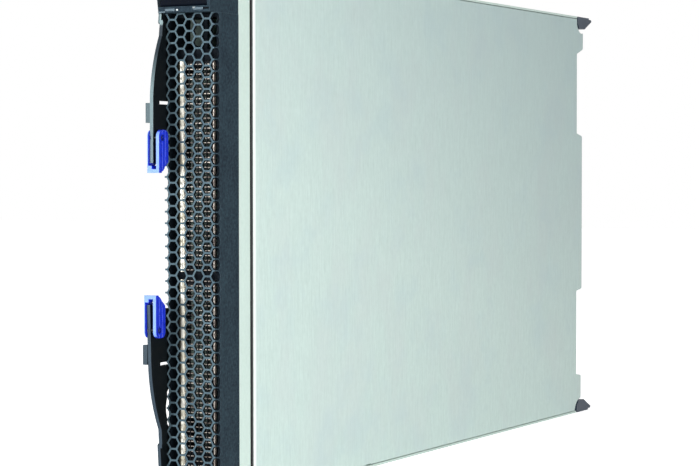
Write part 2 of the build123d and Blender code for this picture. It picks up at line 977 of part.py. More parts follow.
def lever_outline(upper):
    """Curved side view of a lever with its hub and hook."""
    reach = lever_reach(upper)
    length = lever_length(upper)
    shares = upper_edge_shares if upper else lower_edge_shares
    clear = upper_lever_clear if upper else lower_lever_clear
    edge = [lever_place(upper, out * reach, along * length) for out, along in shares]
    back = lever_pivot_y + lever_rear_gap
    bar = reach - lever_bar_depth
    knee = length - lever_bar_length
    hook = [
        lever_place(upper, 0, -lever_hub_radius),
        lever_place(upper, lever_hook_reach, -lever_hook_rise),
        lever_place(upper, lever_hook_reach, lever_hook_drop),
        edge[0],
        edge[1],
    ]
    tip = [
        edge[3],
        lever_place(upper, reach, length),
        lever_place(upper, bar, length),
        lever_place(upper, bar, knee),
        lever_place(upper, back, knee - lever_knee_length),
        lever_place(upper, back, clear),
        lever_place(upper, 0, lever_hub_radius),
    ]
    lines = [
        Polyline(*hook), ThreePointArc(edge[1], edge[2], edge[3]), Polyline(*tip),
        Line(tip[-1], hook[0]),
    ]
    return make_face(lines) + Pos(*lever_place(upper, 0, 0)) * Circle(lever_hub_radius)


def lever(upper):
    """Ejector lever: hub and rear web in one plane, the arm stepped inward from them."""
    reach = lever_reach(upper)
    length = lever_length(upper)
    back = lever_pivot_y + lever_rear_gap
    clear = upper_lever_clear if upper else lower_lever_clear
    web = upper_lever_web if upper else lower_lever_web
    inside = left + lever_sheet
    outline = lever_outline(upper)
    pivot = Pos(*lever_place(upper, 0, 0))
    arm = outline - pivot * Circle(lever_step_radius)
    body = side_plate(outline & pivot * Circle(lever_step_radius + lever_step_lap), left, inside)
    body += side_plate(arm, arm_left, arm_inside)
    knee = length - lever_bar_length - lever_knee_length
    body += lever_block(
        upper, left, inside, (lever_web_place, back + lever_web_lap), (clear, knee)
    )
    body += lever_block(upper, left, inside, (lever_web_place, back - lever_web_gap), (clear, web))
    rib = side_plate(outline, arm_inside, arm_inside + lever_rib_height)
    rib -= side_plate(
        Pos(lever_rib_depth, 0) * outline, arm_inside, arm_inside + lever_rib_height
    )
    body += rib & lever_block(
        upper, arm_inside, arm_inside + lever_rib_height, (0, reach + overrun),
        (lever_rib_start, length),
    )
    bump_outer = reach - lever_bump_inset
    bump_end = length - lever_bump_place
    bump = lever_block(
        upper, arm_left - lever_bump_height, arm_left, (bump_outer - lever_bump_depth, bump_outer),
        (bump_end - lever_bump_length, bump_end),
    )
    bump = fillet(bump.edges().group_by(Axis.X)[0], lever_bump_round)
    body += bump
    slot_middle = length - lever_slot_place
    half_slot = lever_slot_width / 2
    body -= lever_block(
        upper, left - overrun, arm_inside + overrun, (0, back + lever_slot_length),
        (slot_middle - half_slot, slot_middle + half_slot),
    )
    if not upper:
        y, z = lever_place(upper, back + lever_relief_depth - lever_relief_radius, lever_relief_place)
        body -= rod_x(y, z, lever_relief_radius, left - overrun, arm_inside + overrun)
    y, z = lever_place(upper, 0, 0)
    body -= rod_x(y, z, lever_pin_radius + running_fit, left - overrun, inside + overrun)
    body -= rod_x(
        y, z, lever_pin_head + slip, left - overrun, left + slip + lever_pin_head_height + running_fit
    )
    y, z = pad_pin_centre(upper)
    body -= rod_x(y, z, pad_pin_radius + running_fit, arm_left - overrun, arm_inside + overrun)
    return body - rod_x(
        y, z, pad_pin_head + slip, arm_left - overrun,
        arm_left + slip + pad_pin_head_height + running_fit,
    )


def lever_pivot_pins():
    """Headed pins that carry the levers."""
    pins = []
    for upper in (True, False):
        y, z = lever_place(upper, 0, 0)
        pin = rod_x(y, z, lever_pin_radius, left + slip, pin_end)
        pins.append(pin + rod_x(y, z, lever_pin_head, left + slip, left + slip + lever_pin_head_height))
    return pins


def pad_pin(upper):
    """Headed pin between a lever and its touch pad."""
    y, z = pad_pin_centre(upper)
    head = arm_left + slip
    pin = rod_x(y, z, pad_pin_radius, head, pad_right - pad_pin_sink)
    return pin + rod_x(y, z, pad_pin_head, head, head + pad_pin_head_height)


def touch_pad(upper):
    """Channel-shaped pad around the tip of a lever."""
    length = lever_length(upper)
    front = lever_reach(upper) + pad_proud
    back = front - pad_depth
    end = length + pad_past_tip
    start = end - pad_length
    outline = [
        lever_place(upper, front, start),
        lever_place(upper, front, end),
        lever_place(upper, back + pad_chamfer_depth, end),
        lever_place(upper, back, end - pad_chamfer_height),
        lever_place(upper, back, start),
    ]
    face = polygon(outline)
    corners = face.vertices().sort_by_distance(outline[0])[:1]
    corners += face.vertices().sort_by_distance(outline[4])[:1]
    body = side_plate(fillet(corners, pad_round), pad_left, pad_right)
    floor = back + pad_wall
    pocket = polygon([
        lever_place(upper, floor, start - overrun),
        lever_place(upper, front + overrun, start - overrun),
        lever_place(upper, front + overrun, end - pad_end_wall),
        lever_place(upper, back + pad_chamfer_depth, end - pad_end_wall),
        lever_place(upper, floor, end - pad_chamfer_height - pad_wall / 2),
    ])
    body -= side_plate(pocket, pad_left + pad_leg, pad_right - pad_wall)
    open_end = length + pad_tip_gap
    body -= lever_block(
        upper, arm_left - slip, pad_left + pad_leg, (back - overrun, front + overrun),
        (start - overrun, open_end),
    )
    for step in range(pad_groove_count):
        place = back + pad_groove_start + step * pad_groove_pitch
        body -= lever_block(
            upper, pad_right - pad_groove_depth, pad_right + overrun, (place, place + pad_groove),
            (start - overrun, end + overrun),
        )
    y, z = pad_pin_centre(upper)
    body -= rod_x(y, z, pad_pin_mouth, pad_right - pad_pin_sink, pad_right + overrun)
    return body - rod_x(y, z, pad_pin_radius + running_fit, pad_left + pad_leg, pad_right + overrun)


def board_place(shares):
    """(Y, Z) of a place on the system board."""
    along = board_front + shares[0] * (board_rear - board_front)
    return along, board_low + shares[1] * (board_high - board_low)


def standoff_places():
    """(Y, Z) of each standoff under the system board."""
    return [
        board_place((column, row)) for column in standoff_column_shares for row in standoff_row_shares
    ]


def sink_screw_places(low):
    """(Y, Z) of the four screws of a heat sink."""
    step = sink_screw_inset
    lengths = (sink_front + step, sink_front + sink_length - step)
    heights = (low + step, low + sink_height - step)
    return [(y, z) for y in lengths for z in heights]


def system_board():
    """Main circuit board."""
    board = block(board_face - board_sheet, board_face, board_front, board_rear, board_low, board_high)
    holes = [rod_x(y, z, board_screw_radius + slip, left, right) for y, z in standoff_places()]
    for low in sink_lows:
        holes += [rod_x(y, z, sink_screw_radius + slip, left, right) for y, z in sink_screw_places(low)]
    return board - holes


def board_standoffs():
    """Threaded standoffs between the tray's floor and the board."""
    base = board_face - board_sheet
    posts = []
    for y, z in standoff_places():
        post = rod_x(y, z, standoff_radius, tray_floor, base)
        posts.append(post - rod_x(y, z, board_screw_radius + running_fit, tray_floor, base))
    return posts


def board_screws():
    """Pan-head screws that hold the board."""
    screws = []
    for y, z in standoff_places():
        head_top = board_face + board_screw_head_height
        screw = rod_x(y, z, board_screw_radius, tray_floor + slip, board_face)
        screw += rod_x(y, z, board_screw_head, board_face, head_top)
        drive = side_plate(
            Pos(y, z) * RegularPolygon(driver_radius, 6), head_top - driver_depth, head_top
        )
        screws.append(screw - drive)
    return screws


def drive(low):
    """Drive with rounded corners, a sunk lid edge and a spindle boss."""
    y1 = drive_front + drive_length
    top = drive_base + drive_height
    high = low + drive_width
    body = block(drive_base, top, drive_front, y1, low, high)
    body = fillet(body.edges().filter_by(Axis.X), drive_corner)
    margin = drive_lid_margin
    rim = block(top - drive_lid_depth, top, drive_front, y1, low, high)
    rim -= block(
        top - drive_lid_depth, top, drive_front + margin, y1 - margin, low + margin, high - margin
    )
    y = drive_front + drive_length - drive_width / 2
    disc = rod_x(y, low + drive_width / 2, drive_disc_radius, top - drive_lid_depth, top)
    ring = disc - rod_x(
        y, low + drive_width / 2, drive_disc_radius - margin, top - drive_lid_depth, top
    )
    return body - rim - ring


def drive_trays():
    """Folded sheet trays that carry the drives on the board."""
    trays = []
    for low in drive_lows:
        z0 = low - drive_tray_gap
        z1 = low + drive_width + drive_tray_gap
        y1 = drive_front + drive_length + drive_tray_tail
        x1 = drive_base - drive_tray_gap
        y0 = drive_front + drive_tray_tail * 2
        tray = block(x1 - drive_tray_sheet, x1, y0, y1, z0, z1)
        tray += block(
            board_face, board_face + drive_tray_reach, y0 + drive_tray_tail, y1, z0 - drive_tray_sheet,
            z0,
        )
        tray += block(
            board_face, board_face + drive_tray_reach, y0 + drive_tray_tail, y1, z1,
            z1 + drive_tray_sheet,
        )
        trays.append(tray)
    return trays


def drive_connectors():
    """Plugs on the board behind the drives."""
    plugs = []
    for low in drive_lows:
        y0 = drive_front + drive_length + small_gap
        middle = low + drive_width / 2
        half = drive_plug_width / 2
        x0 = drive_base - drive_tray_gap
        plugs.append(
            block(x0, x0 + drive_plug_height, y0, y0 + drive_plug_length, middle - half, middle + half)
        )
    return plugs


def socket_centres():
    """(Y, Z) of each processor."""
    return [(sink_front + sink_length / 2, low + sink_height / 2) for low in sink_lows]


def square_block(y, z, size, x0, x1):
    """Square block around a place on the board."""
    half = size / 2
    return block(x0, x1, y - half, y + half, z - half, z + half)


def cpu_sockets():
    """Processor sockets with a shallow well."""
    sockets = []
    for y, z in socket_centres():
        body = square_block(y, z, socket_size, board_face, socket_top)
        sockets.append(
            body - square_block(
                y, z, socket_size - socket_rim * 2, socket_top - socket_well, socket_top
            )
        )
    return sockets


def processors():
    """Processors with their heat spreaders."""
    chips = []
    for y, z in socket_centres():
        chip = square_block(y, z, processor_size, socket_top - processor_sheet, socket_top)
        chips.append(chip + square_block(y, z, processor_lid, socket_top, processor_top))
    return chips


def heat_sink(low):
    """Base plate with a row of fins and room for the screws."""
    y1 = sink_front + sink_length
    body = block(processor_top, sink_top, sink_front, y1, low, low + sink_height)
    for step in range(sink_fin_count):
        z = low + step * sink_fin_pitch
        body += block(sink_top, sink_top + sink_fin_reach, sink_front, y1, z, z + sink_fin_sheet)
    for y, z in sink_screw_places(low):
        body -= rod_x(y, z, sink_screw_relief, sink_top, sink_top + sink_fin_reach)
        body -= rod_x(y, z, sink_screw_radius + slip, processor_top, sink_top)
    return body


def heat_sink_screws():
    """Screws that clamp the heat sinks to the board."""
    screws = []
    for low in sink_lows:
        for y, z in sink_screw_places(low):
            head_top = sink_top + sink_screw_head_height
            screw = rod_x(y, z, sink_screw_radius, board_face - board_sheet, sink_top)
            screw += rod_x(y, z, sink_screw_head, sink_top, head_top)
            drive_hole = side_plate(
                Pos(y, z) * RegularPolygon(driver_radius, 6), head_top - driver_depth, head_top
            )
            screws.append(screw - drive_hole)
    return screws


def memory_latch_x():
    """Distance across the blade of the memory latches' axes."""
    return board_face + memory_latch_pin_rise


def memory_latch_y(front):
    """Place along the blade of one end's latch axes."""
    y0 = memory_front - memory_end / 2
    return y0 if front else memory_front + memory_length + memory_end / 2


def memory_slots():
    """Sockets for the memory cards with open forks at both ends."""
    slots = []
    y0 = memory_front - memory_end
    y1 = memory_front + memory_length + memory_end
    top = board_face + memory_base_height
    half = memory_base_width / 2
    half_card = memory_card_sheet / 2 + running_fit
    for z in memory_rows:
        slot = block(board_face, top, y0, y1, z - half, z + half)
        slot -= block(
            top - memory_groove_depth, top, memory_front - slip, memory_front + memory_length + slip,
            z - half_card, z + half_card,
        )
        inner = half - memory_cheek
        for y_a, y_b in (
            (y0 - overrun, memory_front - memory_cheek),
            (memory_front + memory_length + memory_cheek, y1 + overrun),
        ):
            slot -= block(board_face, top, y_a, y_b, z - inner, z + inner)
        for front in (True, False):
            slot -= rod_z(
                memory_latch_x(), memory_latch_y(front), memory_latch_pin + running_fit, z - half,
                z + half,
            )
        slots.append(slot)
    return slots


def memory_modules():
    """Memory cards with a row of chips on each side."""
    cards = []
    x0 = board_face + memory_base_height - memory_groove_depth
    half = memory_card_sheet / 2
    pitch = memory_length / memory_chip_count
    inset = (pitch - memory_chip_length) / 2
    for z in memory_rows:
        card = block(
            x0, x0 + memory_card_height, memory_front, memory_front + memory_length, z - half, z + half
        )
        for step in range(memory_chip_count):
            y = memory_front + step * pitch + inset
            x = x0 + memory_chip_rise
            deep = half + memory_chip_sheet
            card += block(x, x + memory_chip_height, y, y + memory_chip_length, z - deep, z + deep)
        cards.append(card)
    return cards


def memory_latch(front, row):
    """Hinged latch in the fork of a memory socket."""
    x = memory_latch_x()
    y = memory_latch_y(front)
    z = memory_rows[row]
    way = -1 if front else 1
    half = memory_base_width / 2 - memory_cheek - memory_latch_gap
    half_depth = memory_latch_depth / 2
    height = memory_latch_height
    trunnion = memory_base_width / 2 - slip
    body = rod_z(x, y, half_depth, z - half, z + half)
    body += block(x, x + height, y - half_depth, y + half_depth, z - half, z + half)
    thumb = sorted([y, y + way * (half_depth + memory_thumb)])
    body += block(x + height - memory_thumb_height, x + height, thumb[0], thumb[1], z - half, z + half)
    return body + rod_z(x, y, memory_latch_pin, z - trunnion, z + trunnion)


def chipset_heat_sink():
    """Small finned heat sink with the chip under it."""
    y, z = hub_sink_y, hub_sink_z
    top = board_face + chip_height
    half = hub_sink_size / 2
    sink = square_block(y, z, chip_size, board_face, top)
    sink += square_block(y, z, hub_sink_size, top, top + hub_sink_base)
    pitch = (hub_sink_size - hub_fin_sheet) / (hub_fin_count - 1)
    for step in range(hub_fin_count):
        fin = z - half + step * pitch
        sink += block(
            top + hub_sink_base, top + hub_sink_base + hub_sink_height, y - half, y + half, fin,
            fin + hub_fin_sheet,
        )
    return sink


def board_chips():
    """Flat chips on the board."""
    return [
        square_block(
            *board_place(shares), chip_size, board_face, board_face + chip_height
        ) for shares in chip_place_shares
    ]


def power_inductors():
    """Square inductors beside the processors."""
    return [
        square_block(
            *board_place(shares), inductor_size, board_face, board_face + inductor_height
        ) for shares in inductor_place_shares
    ]


def capacitors():
    """Row of round capacitors."""
    cans = []
    for step in range(capacitor_count):
        can = rod_x(
            capacitor_front + step * capacitor_pitch, capacitor_row, capacitor_radius, board_face,
            board_face + capacitor_height,
        )
        cans.append(chamfer(can.edges().group_by(Axis.X)[-1], capacitor_top))
    return cans


def coin_cell_holder():
    """Round holder with a clip over the cell's edge."""
    floor = board_face + cell_holder_floor
    top = floor + cell_height + slip
    rim = cell_radius + cell_holder_rim
    holder = rod_x(cell_y, cell_z, rim, board_face, top)
    holder -= rod_x(cell_y, cell_z, cell_radius + slip, floor, top)
    half = cell_clip / 2
    lap = cell_y - cell_radius + cell_clip_lap
    return holder + block(
        top, top + cell_clip_sheet, cell_y - rim + running_fit, lap, cell_z - half, cell_z + half
    )


def coin_cell():
    """Round cell in its holder."""
    floor = board_face + cell_holder_floor
    cell = rod_x(cell_y, cell_z, cell_radius, floor, floor + cell_height)
    return chamfer(cell.edges().group_by(Axis.X)[-1], capacitor_top)


def expansion_connector():
    """Slotted connector for an expansion card."""
    top = board_face + expansion_height
    y1 = expansion_front + expansion_length
    z1 = expansion_low + expansion_width
    middle = expansion_low + expansion_width / 2
    half = expansion_slot / 2
    body = block(board_face, top, expansion_front, y1, expansion_low, z1)
    slot = block(
        top - expansion_slot_depth, top, expansion_front + expansion_end, y1 - expansion_end,
        middle - half, middle + half,
    )
    return body - slot


def midplane_connector(low):
    """Hollow connector that faces the rear, with contact blades inside."""
    x1 = board_face + connector_reach
    high = low + connector_height
    wall = connector_wall
    shell = block(board_face, x1, connector_front, connector_rear, low, high)
    back = connector_front + connector_floor
    shell -= block(board_face + wall, x1 - wall, back, connector_rear, low + wall, high - wall)
    pitch = connector_blade_gap + connector_blade_sheet
    for step in range(connector_blade_count):
        z = low + wall + connector_blade_gap + step * pitch
        shell += block(
            board_face + wall, board_face + wall + pitch, back, back + connector_blade_length, z,
            z + connector_blade_sheet,
        )
    return shell


def all_parts():
    """Every piece of the blade server by its name."""
    parts = {
        "base_tray": base_tray(),
        "cover": cover(),
        "cover_pivot_pins": cover_pivot_pins(),
        "upper_cover_latch": cover_latch(True),
        "lower_cover_latch": cover_latch(False),
        "upper_rear_guide": rear_guide(True),
        "lower_rear_guide": rear_guide(False),
        "rear_guide_screws": rear_guide_screws(),
        "bezel_frame": bezel_frame(),
        "bezel_grille": bezel_grille(),
        "bezel_screws": bezel_screws(),
        "upper_emc_shield": emc_shield(upper_shield_low, upper_shield_high),
        "lower_emc_shield": emc_shield(lower_shield_low, lower_shield_high),
        "control_panel_housing": control_panel_housing(),
        "control_panel_door": control_panel_door(),
        "power_button": power_button(),
        "media_select_button": select_button(media_place_shares),
        "console_select_button": select_button(console_place_shares),
        "light_pipes": light_pipes(),
        "control_panel_board": control_panel_board(),
        "upper_lever": lever(True),
        "lower_lever": lever(False),
        "lever_pivot_pins": lever_pivot_pins(),
        "upper_touch_pad": touch_pad(True),
        "lower_touch_pad": touch_pad(False),
        "upper_pad_pin": pad_pin(True),
        "lower_pad_pin": pad_pin(False),
        "system_board": system_board(),
        "board_standoffs": board_standoffs(),
        "board_screws": board_screws(),
        "lower_drive": drive(drive_lows[0]),
        "upper_drive": drive(drive_lows[1]),
        "drive_trays": drive_trays(),
        "drive_connectors": drive_connectors(),
        "cpu_sockets": cpu_sockets(),
        "processors": processors(),
        "lower_heat_sink": heat_sink(sink_lows[0]),
        "upper_heat_sink": heat_sink(sink_lows[1]),
        "heat_sink_screws": heat_sink_screws(),
        "memory_slots": memory_slots(),
        "memory_modules": memory_modules(),
        "chipset_heat_sink": chipset_heat_sink(),
        "board_chips": board_chips(),
        "power_inductors": power_inductors(),
        "capacitors": capacitors(),
        "coin_cell_holder": coin_cell_holder(),
        "coin_cell": coin_cell(),
        "expansion_connector": expansion_connector(),
        "lower_midplane_connector": midplane_connector(connector_lows[0]),
        "upper_midplane_connector": midplane_connector(connector_lows[1]),
    }
    for row in range(len(memory_rows)):
        parts[f"memory_latch_front_{row + 1}"] = memory_latch(True, row)
        parts[f"memory_latch_rear_{row + 1}"] = memory_latch(False, row)
    return parts


def solids_of(piece):
    """Separate solids of one piece or of a group of pieces."""
    pieces = piece if isinstance(piece, list) else [piece]
    return [solid for shape in pieces for solid in shape.solids()]


def main():
    """Write every piece, moved to the middle of the tray's bottom face."""
    os.makedirs("parts", exist_ok=True)
    to_origin = Pos(0, -(tray_front + tray_rear) / 2, 0)
    for name, piece in all_parts().items():
        moved = [to_origin * solid for solid in solids_of(piece)]
        export_step(Compound(children=moved), f"parts/{name}.step")


if __name__ == "__main__":
    main()
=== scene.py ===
import json
import math

import bmesh
import bpy
from mathutils import Matrix, Vector


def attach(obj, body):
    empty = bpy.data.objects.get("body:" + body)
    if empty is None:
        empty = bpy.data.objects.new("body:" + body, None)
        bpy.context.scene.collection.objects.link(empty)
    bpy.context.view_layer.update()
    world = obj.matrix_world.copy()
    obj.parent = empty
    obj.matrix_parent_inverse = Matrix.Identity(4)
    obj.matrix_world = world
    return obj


# Lengths are metres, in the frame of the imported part
# X runs across the blade, Y from the front panel to the rear, Z up
MM = 0.001

# Camera
camera_place = (0.516581, -1.037124, 0.151702)
camera_yaw = 28.081
camera_pitch = 1.729
camera_roll = -0.05
camera_lens = 110.79
sensor_width = 36.0

# Cover: its faces, its painted seam shade, its painted front-edge highlight and its two tones
seam_shade_ends = (-189.1 * MM, -188.8 * MM)
edge_highlight_ends = (-188.2 * MM, -186.6 * MM)
cover_edge_y = -190.0 * MM
cover_end_y = 200.0 * MM
cover_face_x = 14.5 * MM
blade_top = 245.0 * MM
cover_pale = (208, 226, 221)
cover_dark = (192, 211, 206)

# Front end: the grille's face, the panel's left frame and its lip, which bound the bezel's painted shade
grille_face_y = -220.8 * MM
panel_frame_x = -11.3 * MM
panel_lip_z = 223.5 * MM

# Trims on the panel's lip, coloured as painted highlights (bars, ticks) and painted shade (notch): rows of
# left, right, low and high, in millimetres
lip_face_y = -226.8 * MM
lip_rise = 0.25 * MM
lip_bars = ((-8.8, -3.9, 221.7, 222.7), (6.0, 10.9, 221.9, 222.9), (-12.5, -9.0, 221.1, 221.6))
lip_ticks = ((-2.9, -2.0, 221.8, 222.4), (5.8, 7.0, 222.5, 223.1))
lip_notches = ((11.2, 14.0, 222.1, 222.9),)

# Levers: left face of the arms, where the finger bumps begin, and heights where the painted sheen, shadow
# and highlight on the front faces change
bump_x = -13.7 * MM
lever_sheen_rise = (78.0 * MM, 150.0 * MM)
lever_painted_shadow = (186.0 * MM, 204.0 * MM)
hub_painted_highlight = (215.5 * MM, 216.5 * MM)
hub_top_dark = (220.5 * MM, 221.5 * MM)

# Touch pads: their front faces and right side, which bound the painted reflection, and their pins in (Y, Z),
# whose holes get painted shade
pad_front_high = -233.8 * MM
pad_front_low = -236.7 * MM
pad_side_x = -7.85 * MM
pad_pins = ((-230.7 * MM, 165.3 * MM), (-233.6 * MM, 79.5 * MM))

# Ribs, bead and fold of the shield sheets, where the painted highlights fall
shield_split = 103.0 * MM
rib_first_low = 19.5 * MM
rib_first_high = 108.1 * MM
rib_pitch_x = 2.3 * MM
rib_pitch_z = 2.2 * MM
rib_first_x = -4.4 * MM
bead_end = -5.3 * MM
fold_start = 9.75 * MM

# Studio
floor_half = 4.0
floor_drop = 0.1 * MM
floor_white = (0.86, 0.86, 0.86)
world_light = 0.23
floor_lift = 0.84
lamp_aim = (0.0, 0.0, 0.12)


class Shading:
    """The node tree of one material, with a short call for each kind of node."""

    def __init__(self, name):
        self.material = bpy.data.materials.new(name)
        self.material.use_nodes = True
        self.tree = self.material.node_tree
        self.shader = self.tree.nodes["Principled BSDF"]
        self.place = self.tree.nodes.new("ShaderNodeTexCoord").outputs["Object"]

    def node(self, kind, inputs, output, **settings):
        """Adds a node, joins or sets its inputs and returns one output."""
        node = self.tree.nodes.new(kind)
        for key, value in settings.items():
            setattr(node, key, value)
        for key, value in inputs.items():
            self.put(node.inputs[key], value)
        return node.outputs[output]

    def put(self, socket, value):
        """Joins a socket to another node's output, or gives it a constant."""
        if isinstance(value, bpy.types.NodeSocket):
            self.tree.links.new(value, socket)
        else:
            socket.default_value = value

    def surface(self, **inputs):
        """Sets inputs of the main shader; underscores stand for spaces."""
        for key, value in inputs.items():
            self.put(self.shader.inputs[key.replace("_", " ")], value)

    def stretched(self, stretch):
        """Object coordinates scaled along each axis."""
        return self.node("ShaderNodeMapping", {"Vector": self.place, "Scale": stretch}, "Vector")

    def noise(self, size, detail=3.0, stretch=(1, 1, 1), roughness=0.55):
        """Soft noise whose features are about size metres across."""
        inputs = {
            "Vector": self.stretched(stretch),
            "Scale": 1 / size,
            "Detail": detail,
            "Roughness": roughness,
        }
        return self.node("ShaderNodeTexNoise", inputs, "Fac")

    def cells(self, size, feature="F1", stretch=(1, 1, 1), output="Distance", randomness=1.0):
        """Cell texture whose cells are about size metres across."""
        inputs = {"Vector": self.stretched(stretch), "Scale": 1 / size, "Randomness": randomness}
        return self.node("ShaderNodeTexVoronoi", inputs, output, feature=feature)

    def remap(self, value, low, high, new_low=0.0, new_high=1.0):
        """Linear change of range, held at its ends."""
        inputs = {
            "Value": value,
            "From Min": low,
            "From Max": high,
            "To Min": new_low,
            "To Max": new_high,
        }
        return self.node("ShaderNodeMapRange", inputs, "Result")

    def math(self, operation, first, second=0.0):
        """One arithmetic step."""
        node = self.tree.nodes.new("ShaderNodeMath")
        node.operation = operation
        self.put(node.inputs[0], first)
        self.put(node.inputs[1], second)
        return node.outputs[0]

    def mix(self, share, first, second):
        """Colour between two colours."""
        node = self.tree.nodes.new("ShaderNodeMix")
        node.data_type = "RGBA"
        self.put(node.inputs[0], share)
        self.put(node.inputs[6], first if isinstance(first, bpy.types.NodeSocket) else colour(first))
        self.put(node.inputs[7], second if isinstance(second, bpy.types.NodeSocket) else colour(second))
        return node.outputs[2]

    def axis(self, name):
        """One of the object coordinates, in metres."""
        return self.node("ShaderNodeSeparateXYZ", {"Vector": self.place}, name)

    def facing(self, name, low=0.5, high=0.9):
        """Mask of the faces that look along the negative side of an object axis."""
        normal = self.tree.nodes.new("ShaderNodeTexCoord").outputs["Normal"]
        part = self.node("ShaderNodeSeparateXYZ", {"Vector": normal}, name)
        return self.remap(part, -low, -high)

    def both(self, first, second):
        """Product of two masks."""
        return self.math("MULTIPLY", first, second)

    def edges(self, radius):
        """Mask that is one along sharp edges, from the bevelled normal."""
        bevel = self.node("ShaderNodeBevel", {"Radius": radius}, "Normal", samples=4)
        flat = self.node("ShaderNodeNewGeometry", {}, "Normal")
        node = self.tree.nodes.new("ShaderNodeVectorMath")
        node.operation = "DOT_PRODUCT"
        self.put(node.inputs[0], bevel)
        self.put(node.inputs[1], flat)
        return self.remap(node.outputs["Value"], 0.98, 0.75)

    def relief(self, height, depth, bevel=0.0):
        """Bump from a height map, over edges rounded by a bevel radius."""
        inputs = {"Height": height, "Distance": depth, "Strength": 1.0}
        if bevel:
            inputs["Normal"] = self.node("ShaderNodeBevel", {"Radius": bevel}, "Normal", samples=4)
        self.surface(Normal=self.node("ShaderNodeBump", inputs, "Normal"))


def colour(values):
    """Linear colour from an sRGB one with parts from 0 to 255."""
    linear = [((v / 255 + 0.055) / 1.055) ** 2.4 if v > 10 else v / 255 / 12.92 for v in values]
    return (*linear, 1.0)


def sheet_steel(name, pale, dark, metallic=0.15):
    """Zinc-coated sheet: cloudy patches, short upright grain and fine mottling."""
    s = Shading(name)
    cloud = s.remap(s.noise(60 * MM, detail=4), 0.35, 0.65)
    grain_lines = s.noise(0.5 * MM, detail=2, stretch=(1, 1, 0.12))
    mottle = s.noise(1.6 * MM, detail=3)
    fine = s.math("ADD", s.both(grain_lines, 0.55), s.both(mottle, 0.45))
    tone = s.math("ADD", s.both(cloud, 0.12), s.both(fine, 0.88))
    base = s.mix(s.remap(tone, 0.25, 0.75), dark, pale)
    edge = s.edges(0.35 * MM)
    wear_and_sheen = s.mix(s.both(edge, 0.45), base, (232, 244, 241))
    rough = s.remap(fine, 0.3, 0.7, 0.42, 0.56)
    s.surface(Base_Color=wear_and_sheen, Roughness=rough, Metallic=metallic)
    s.relief(fine, 0.02 * MM, bevel=0.3 * MM)
    return s.material


def cover_steel():
    """Zinc-coated sheet of the cover: upright streaks, soft tints, a painted highlight on the folded front
    edge, painted shade in the seam and towards the top rear.
    """
    s = Shading("cover_steel")
    streaks = s.noise(1.1 * MM, detail=3, stretch=(1, 1, 0.09))
    grain = s.noise(0.8 * MM, detail=2, stretch=(1, 1, 0.3))
    mottle = s.noise(3.0 * MM, detail=4)
    fine = s.math("ADD", s.both(streaks, 0.5), s.both(s.math("ADD", grain, mottle), 0.25))
    base = s.mix(s.remap(fine, 0.34, 0.66), cover_dark, cover_pale)
    grey = s.remap(s.noise(34 * MM, detail=3, stretch=(1, 1, 0.6)), 0.48, 0.66)
    base = s.mix(s.both(grey, 0.3), base, (200, 209, 209))
    blue = s.remap(s.noise(26 * MM, detail=3, stretch=(1, 0.8, 1)), 0.52, 0.7)
    base = s.mix(s.both(blue, 0.25), base, (182, 204, 210))
    # Painted shade: darker towards the top and towards the rear
    depth = s.remap(s.axis("Y"), cover_edge_y, cover_end_y)
    height = s.remap(s.axis("Z"), 0.0, blade_top)
    top_rear_shade = s.remap(s.math("ADD", s.both(depth, 0.5), height), 0.6, 1.5)
    base = s.mix(s.both(top_rear_shade, 0.5), base, (150, 172, 176))
    # Painted highlight: the folded front edge of the cover turns near white
    lit = s.both(s.remap(s.axis("Y"), *edge_highlight_ends, 1.0, 0.0), 0.85)
    base = s.mix(lit, base, (252, 255, 254))
    # Painted shade: near black on the recessed front flange, in the gap behind the bezel's side strip
    inner = s.remap(s.axis("X"), cover_face_x - 0.35 * MM, cover_face_x - 0.1 * MM, 1.0, 0.0)
    seam_shade = s.remap(s.axis("Y"), *seam_shade_ends, 1.0, 0.0)
    seam_shade = s.both(seam_shade, inner)
    base = s.mix(seam_shade, base, (14, 18, 20))
    s.surface(
        Base_Color=base,
        Roughness=s.remap(fine, 0.3, 0.7, 0.42, 0.56),
        Metallic=s.both(s.math("SUBTRACT", 1.0, seam_shade), 0.15),
        Specular_IOR_Level=0.3,
    )
    s.relief(fine, 0.02 * MM, bevel=0.3 * MM)
    return s.material


def moulded_plastic(
    name, pale, dark, size=0.9 * MM, rough=(0.42, 0.6), depth=0.04 * MM, edge=None, specular=0.16
):
    """Spark-eroded mould texture: small pits, soft tone changes and rubbed edges."""
    s = Shading(name)
    pits = s.cells(size)
    grain = s.noise(size * 1.7, detail=4)
    cloud = s.noise(18 * MM, detail=3)
    tone = s.math("ADD", s.both(grain, 0.65), s.both(cloud, 0.35))
    base = s.mix(s.remap(tone, 0.32, 0.68), dark, pale)
    rub = s.both(s.edges(0.3 * MM), s.remap(cloud, 0.3, 0.7, 0.35, 0.85))
    s.surface(
        Base_Color=s.mix(rub, base, edge or pale),
        Roughness=s.remap(grain, 0.3, 0.7, *rough),
        Specular_IOR_Level=specular,
    )
    height = s.math("ADD", s.both(pits, 0.6), s.both(grain, 0.4))
    s.relief(height, depth, bevel=0.2 * MM)
    return s.material


def brushed_metal(name, pale, dark, stretch, metallic=0.9, rough=(0.25, 0.42)):
    """Machined or drawn metal with fine lines along one direction and a painted highlight along sharp edges.
    """
    s = Shading(name)
    lines = s.noise(0.35 * MM, detail=3, stretch=stretch)
    cloud = s.noise(9 * MM, detail=3)
    base = s.mix(s.remap(lines, 0.3, 0.7), dark, pale)
    smudge = s.mix(s.both(s.remap(cloud, 0.45, 0.75), 0.35), base, dark)
    # Painted highlight: near white along sharp edges
    shine = s.mix(s.both(s.edges(0.2 * MM), 0.5), smudge, (250, 250, 248))
    s.surface(
        Base_Color=shine,
        Metallic=metallic,
        Roughness=s.remap(s.math("ADD", lines, s.both(cloud, 0.3)), 0.35, 0.95, *rough),
    )
    s.relief(lines, 0.01 * MM, bevel=0.15 * MM)
    return s.material


